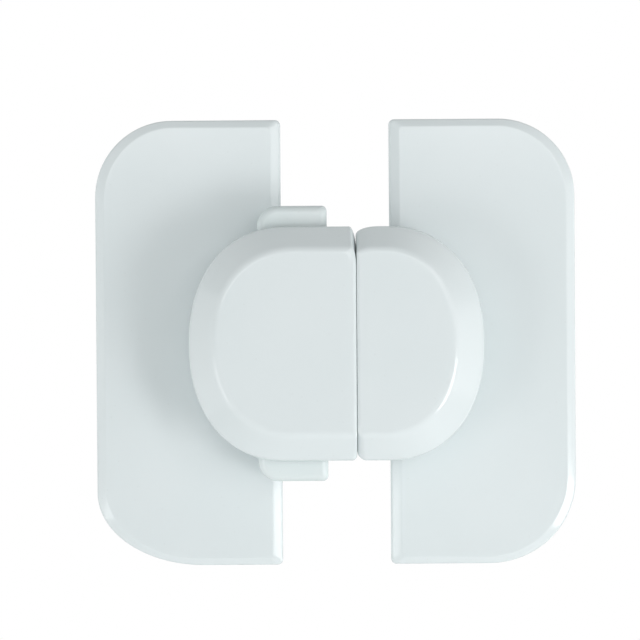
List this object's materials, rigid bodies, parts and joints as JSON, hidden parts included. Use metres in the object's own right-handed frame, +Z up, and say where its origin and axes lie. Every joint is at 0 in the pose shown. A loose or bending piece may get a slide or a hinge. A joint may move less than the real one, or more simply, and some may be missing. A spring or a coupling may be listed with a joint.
{
  "type": "adhesive door latch",
  "caption": "Adhesive child-safety door latch: two rounded plates, a D-shaped lock body with squeeze buttons, and a matching strike with a windowed tongue.",
  "frame": {"origin": "middle of the strike half's adhesive face, on the wall plane", "axes": "+X to the right across both halves, away from the lock half; +Y into the door, square to the adhesive faces; +Z up"},
  "size_m": [0.092, 0.02, 0.0854],
  "materials": {
    "white_gloss": "glossy moulded white plastic",
    "button_white": "glossy moulded white plastic",
    "inner_white": "plain moulded white plastic",
    "tongue_white": "satin low-friction white plastic",
    "foam_tape": "matte double-sided foam tape",
    "spring_steel": "drawn spring wire",
    "screw_steel": "zinc-plated steel"
  },
  "bodies": {
    "strike_half": {"strike_base_plate": "white_gloss", "strike_cover": "white_gloss", "strike_foam_pad": "foam_tape", "strike_tongue": "tongue_white", "strike_plate_screw_1": "screw_steel", "strike_plate_screw_2": "screw_steel", "strike_plate_screw_3": "screw_steel", "tongue_screw_1": "screw_steel", "tongue_screw_2": "screw_steel"},
    "lock_half": {"lock_base_plate": "white_gloss", "lock_cover": "white_gloss", "lock_foam_pad": "foam_tape", "lock_chassis": "inner_white", "upper_spring": "spring_steel", "lower_spring": "spring_steel", "lock_plate_screw_1": "screw_steel", "lock_plate_screw_2": "screw_steel", "lock_plate_screw_3": "screw_steel", "lock_chassis_screw_1": "screw_steel", "lock_chassis_screw_2": "screw_steel"},
    "upper_slider": {"upper_button": "button_white"},
    "lower_slider": {"lower_button": "button_white"}
  },
  "joints": [
    {"name": "lock_release", "type": "slide", "parent": "strike_half", "child": "lock_half", "axis": [0, -1, 0], "range_m": [0, 0.036]},
    {"name": "upper_press", "type": "slide", "parent": "lock_half", "child": "upper_slider", "axis": [0, 0, -1], "range_m": [0, 0.003], "stiffness_N_per_m": 250, "springref_m": -0.004, "deforming": ["upper_spring"]},
    {"name": "lower_press", "type": "slide", "parent": "lock_half", "child": "lower_slider", "axis": [0, 0, 1], "range_m": [0, 0.003], "stiffness_N_per_m": 250, "springref_m": -0.004, "deforming": ["lower_spring"]}
  ]
}
